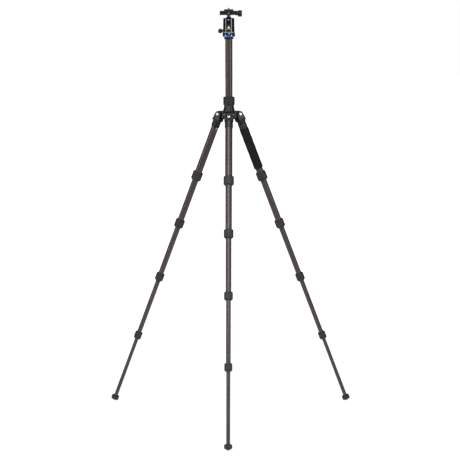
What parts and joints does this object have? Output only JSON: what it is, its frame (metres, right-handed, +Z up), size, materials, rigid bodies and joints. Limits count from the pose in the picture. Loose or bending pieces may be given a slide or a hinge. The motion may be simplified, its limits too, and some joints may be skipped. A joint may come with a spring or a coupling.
{
  "type": "travel tripod",
  "caption": "Compact camera tripod with telescoping twist-lock legs that fold back over a sliding centre column, and a ball head with a screw clamp and quick-release plate.",
  "frame": {"origin": "on the centre column's axis, at the level of the floor under the three feet", "axes": "+Z up along the column; the front leg points along -Y, the other two at 30 and 150 degrees from +X; the clamp knob is on +X"},
  "size_m": [0.883, 0.7684, 1.4368],
  "materials": {
    "tube": "satin",
    "lock": "satin",
    "foot": "matte",
    "casting": "satin",
    "silver": "satin",
    "black_metal": "satin",
    "blue_metal": "gloss",
    "ball_metal": "gloss",
    "foam": "matte",
    "knob_rubber": "satin",
    "guide_plastic": "matte",
    "level_glass": "gloss"
  },
  "bodies": {
    "shoulder": {"shoulder": "casting", "pivot_bolts": "silver", "column_guides": "guide_plastic"},
    "column_lock": {"column_lock": "lock"},
    "column": {"column_tube": "tube", "column_end_cap": "black_metal", "head_seat_plate": "black_metal", "pan_base": "blue_metal"},
    "weight_hook": {"weight_hook": "silver"},
    "head": {"head_housing": "black_metal", "ball_seat": "guide_plastic", "housing_screw": "silver"},
    "pan_knob": {"pan_knob": "knob_rubber"},
    "main_knob": {"main_knob": "knob_rubber"},
    "ball": {"ball_stem": "ball_metal"},
    "clamp": {"clamp_body": "black_metal", "bubble_level": "level_glass"},
    "clamp_jaw": {"clamp_jaw": "black_metal"},
    "clamp_knob": {"clamp_knob": "knob_rubber"},
    "quick_plate": {"quick_plate": "black_metal"},
    "camera_screw": {"camera_screw": "silver"},
    "front_leg": {"front_knuckle": "casting", "front_tube_1": "tube"},
    "front_angle_tab": {"front_angle_tab": "silver"},
    "front_lock_1": {"front_lock_1": "lock"},
    "front_section_2": {"front_tube_2": "tube"},
    "front_lock_2": {"front_lock_2": "lock"},
    "front_section_3": {"front_tube_3": "tube"},
    "front_lock_3": {"front_lock_3": "lock"},
    "front_section_4": {"front_tube_4": "tube"},
    "front_lock_4": {"front_lock_4": "lock"},
    "front_section_5": {"front_tube_5": "tube", "front_foot": "foot"},
    "right_leg": {"right_knuckle": "casting", "right_tube_1": "tube", "foam_grip": "foam", "grip_ring": "black_metal"},
    "right_angle_tab": {"right_angle_tab": "silver"},
    "right_lock_1": {"right_lock_1": "lock"},
    "right_section_2": {"right_tube_2": "tube"},
    "right_lock_2": {"right_lock_2": "lock"},
    "right_section_3": {"right_tube_3": "tube"},
    "right_lock_3": {"right_lock_3": "lock"},
    "right_section_4": {"right_tube_4": "tube"},
    "right_lock_4": {"right_lock_4": "lock"},
    "right_section_5": {"right_tube_5": "tube", "right_foot": "foot"},
    "left_leg": {"left_knuckle": "casting", "left_tube_1": "tube", "leg_stud": "silver"},
    "left_angle_tab": {"left_angle_tab": "silver"},
    "left_lock_1": {"left_lock_1": "lock"},
    "left_section_2": {"left_tube_2": "tube"},
    "left_lock_2": {"left_lock_2": "lock"},
    "left_section_3": {"left_tube_3": "tube"},
    "left_lock_3": {"left_lock_3": "lock"},
    "left_section_4": {"left_tube_4": "tube"},
    "left_lock_4": {"left_lock_4": "lock"},
    "left_section_5": {"left_tube_5": "tube", "left_foot": "foot"}
  },
  "joints": [
    {"name": "front_leg_swing", "type": "hinge", "parent": "shoulder", "child": "front_leg", "pos_m": [0, -0.037, 1.07031], "axis": [-1, 0, 0], "range_deg": [-23.3, 151.7]},
    {"name": "front_tab_pull", "type": "slide", "parent": "front_leg", "child": "front_angle_tab", "axis": [0, -0.9184, 0.3955], "range_m": [0, 0.0027], "stiffness_N_per_m": 300},
    {"name": "front_lock_1_turn", "type": "hinge", "parent": "front_leg", "child": "front_lock_1", "pos_m": [0, -0.13233, 0.84896], "axis": [0, -0.3955, -0.9184], "range_deg": [0, 120]},
    {"name": "front_section_2_slide", "type": "slide", "parent": "front_leg", "child": "front_section_2", "axis": [0, -0.3955, -0.9184], "range_m": [-0.1579, 0]},
    {"name": "front_lock_2_turn", "type": "hinge", "parent": "front_section_2", "child": "front_lock_2", "pos_m": [0, -0.20708, 0.67537], "axis": [0, -0.3955, -0.9184], "range_deg": [0, 120]},
    {"name": "front_section_3_slide", "type": "slide", "parent": "front_section_2", "child": "front_section_3", "axis": [0, -0.3955, -0.9184], "range_m": [-0.187, 0]},
    {"name": "front_lock_3_turn", "type": "hinge", "parent": "front_section_3", "child": "front_lock_3", "pos_m": [0, -0.2928, 0.47635], "axis": [0, -0.3955, -0.9184], "range_deg": [0, 120]},
    {"name": "front_section_4_slide", "type": "slide", "parent": "front_section_3", "child": "front_section_4", "axis": [0, -0.3955, -0.9184], "range_m": [-0.2147, 0]},
    {"name": "front_lock_4_turn", "type": "hinge", "parent": "front_section_4", "child": "front_lock_4", "pos_m": [0, -0.38892, 0.25316], "axis": [0, -0.3955, -0.9184], "range_deg": [0, 120]},
    {"name": "front_section_5_slide", "type": "slide", "parent": "front_section_4", "child": "front_section_5", "axis": [0, -0.3955, -0.9184], "range_m": [-0.241, 0]},
    {"name": "right_leg_swing", "type": "hinge", "parent": "shoulder", "child": "right_leg", "pos_m": [0.03204, 0.0185, 1.07031], "axis": [0.5, -0.866, 0], "range_deg": [-23.3, 151.7]},
    {"name": "right_tab_pull", "type": "slide", "parent": "right_leg", "child": "right_angle_tab", "axis": [0.7954, 0.4592, 0.3955], "range_m": [0, 0.0027], "stiffness_N_per_m": 300},
    {"name": "right_lock_1_turn", "type": "hinge", "parent": "right_leg", "child": "right_lock_1", "pos_m": [0.1146, 0.06616, 0.84896], "axis": [0.3426, 0.1978, -0.9184], "range_deg": [0, 120]},
    {"name": "right_section_2_slide", "type": "slide", "parent": "right_leg", "child": "right_section_2", "axis": [0.3426, 0.1978, -0.9184], "range_m": [-0.1579, 0]},
    {"name": "right_lock_2_turn", "type": "hinge", "parent": "right_section_2", "child": "right_lock_2", "pos_m": [0.17934, 0.10354, 0.67537], "axis": [0.3426, 0.1978, -0.9184], "range_deg": [0, 120]},
    {"name": "right_section_3_slide", "type": "slide", "parent": "right_section_2", "child": "right_section_3", "axis": [0.3426, 0.1978, -0.9184], "range_m": [-0.187, 0]},
    {"name": "right_lock_3_turn", "type": "hinge", "parent": "right_section_3", "child": "right_lock_3", "pos_m": [0.25357, 0.1464, 0.47635], "axis": [0.3426, 0.1978, -0.9184], "range_deg": [0, 120]},
    {"name": "right_section_4_slide", "type": "slide", "parent": "right_section_3", "child": "right_section_4", "axis": [0.3426, 0.1978, -0.9184], "range_m": [-0.2147, 0]},
    {"name": "right_lock_4_turn", "type": "hinge", "parent": "right_section_4", "child": "right_lock_4", "pos_m": [0.33681, 0.19446, 0.25316], "axis": [0.3426, 0.1978, -0.9184], "range_deg": [0, 120]},
    {"name": "right_section_5_slide", "type": "slide", "parent": "right_section_4", "child": "right_section_5", "axis": [0.3426, 0.1978, -0.9184], "range_m": [-0.241, 0]},
    {"name": "left_leg_swing", "type": "hinge", "parent": "shoulder", "child": "left_leg", "pos_m": [-0.03204, 0.0185, 1.07031], "axis": [0.5, 0.866, 0], "range_deg": [-23.3, 151.7]},
    {"name": "left_tab_pull", "type": "slide", "parent": "left_leg", "child": "left_angle_tab", "axis": [-0.7954, 0.4592, 0.3955], "range_m": [0, 0.0027], "stiffness_N_per_m": 300},
    {"name": "left_lock_1_turn", "type": "hinge", "parent": "left_leg", "child": "left_lock_1", "pos_m": [-0.1146, 0.06616, 0.84896], "axis": [-0.3426, 0.1978, -0.9184], "range_deg": [0, 120]},
    {"name": "left_section_2_slide", "type": "slide", "parent": "left_leg", "child": "left_section_2", "axis": [-0.3426, 0.1978, -0.9184], "range_m": [-0.1579, 0]},
    {"name": "left_lock_2_turn", "type": "hinge", "parent": "left_section_2", "child": "left_lock_2", "pos_m": [-0.17934, 0.10354, 0.67537], "axis": [-0.3426, 0.1978, -0.9184], "range_deg": [0, 120]},
    {"name": "left_section_3_slide", "type": "slide", "parent": "left_section_2", "child": "left_section_3", "axis": [-0.3426, 0.1978, -0.9184], "range_m": [-0.187, 0]},
    {"name": "left_lock_3_turn", "type": "hinge", "parent": "left_section_3", "child": "left_lock_3", "pos_m": [-0.25357, 0.1464, 0.47635], "axis": [-0.3426, 0.1978, -0.9184], "range_deg": [0, 120]},
    {"name": "left_section_4_slide", "type": "slide", "parent": "left_section_3", "child": "left_section_4", "axis": [-0.3426, 0.1978, -0.9184], "range_m": [-0.2147, 0]},
    {"name": "left_lock_4_turn", "type": "hinge", "parent": "left_section_4", "child": "left_lock_4", "pos_m": [-0.33681, 0.19446, 0.25316], "axis": [-0.3426, 0.1978, -0.9184], "range_deg": [0, 120]},
    {"name": "left_section_5_slide", "type": "slide", "parent": "left_section_4", "child": "left_section_5", "axis": [-0.3426, 0.1978, -0.9184], "range_m": [-0.241, 0]},
    {"name": "column_lock_turn", "type": "hinge", "parent": "shoulder", "child": "column_lock", "pos_m": [0, 0, 1.10181], "axis": [0, 0, 1], "range_deg": [0, 120]},
    {"name": "column_slide", "type": "slide", "parent": "shoulder", "child": "column", "axis": [0, 0, 1], "range_m": [-0.198, 0]},
    {"name": "hook_push", "type": "slide", "parent": "column", "child": "weight_hook", "axis": [0, 0, 1], "range_m": [0, 0.008], "stiffness_N_per_m": 150},
    {"name": "pan_turn", "type": "hinge", "parent": "column", "child": "head", "pos_m": [0, 0, 1.35081], "axis": [0, 0, 1], "continuous": true},
    {"name": "pan_knob_turn", "type": "hinge", "parent": "head", "child": "pan_knob", "pos_m": [0, 0, 1.35783], "axis": [-1, 0, 0], "range_deg": [0, 180]},
    {"name": "main_knob_turn", "type": "hinge", "parent": "head", "child": "main_knob", "pos_m": [0, 0, 1.37991], "axis": [0, 1, 0], "range_deg": [0, 270]},
    {"name": "ball_tilt", "type": "hinge", "parent": "head", "child": "ball", "pos_m": [0, 0, 1.39191], "axis": [-1, 0, 0], "range_deg": [-90, 28]},
    {"name": "clamp_turn", "type": "hinge", "parent": "ball", "child": "clamp", "pos_m": [0, 0, 1.41231], "axis": [0, 0, 1], "continuous": true},
    {"name": "clamp_knob_turn", "type": "hinge", "parent": "clamp_jaw", "child": "clamp_knob", "pos_m": [0, 0, 1.41778], "axis": [1, 0, 0], "range_deg": [0, 1440]},
    {"name": "jaw_slide", "type": "slide", "parent": "clamp", "child": "clamp_jaw", "axis": [1, 0, 0], "range_m": [0, 0.004]},
    {"name": "plate_slide", "type": "slide", "parent": "clamp", "child": "quick_plate", "axis": [0, 1, 0], "range_m": [-0.01, 0.01]},
    {"name": "camera_screw_turn", "type": "hinge", "parent": "quick_plate", "child": "camera_screw", "pos_m": [0, 0, 1.42226], "axis": [0, 0, 1], "continuous": true}
  ],
  "couplings": [
    {"joint": "clamp_knob_turn", "follows": "jaw_slide", "rad_per_m": 6283.2}
  ]
}
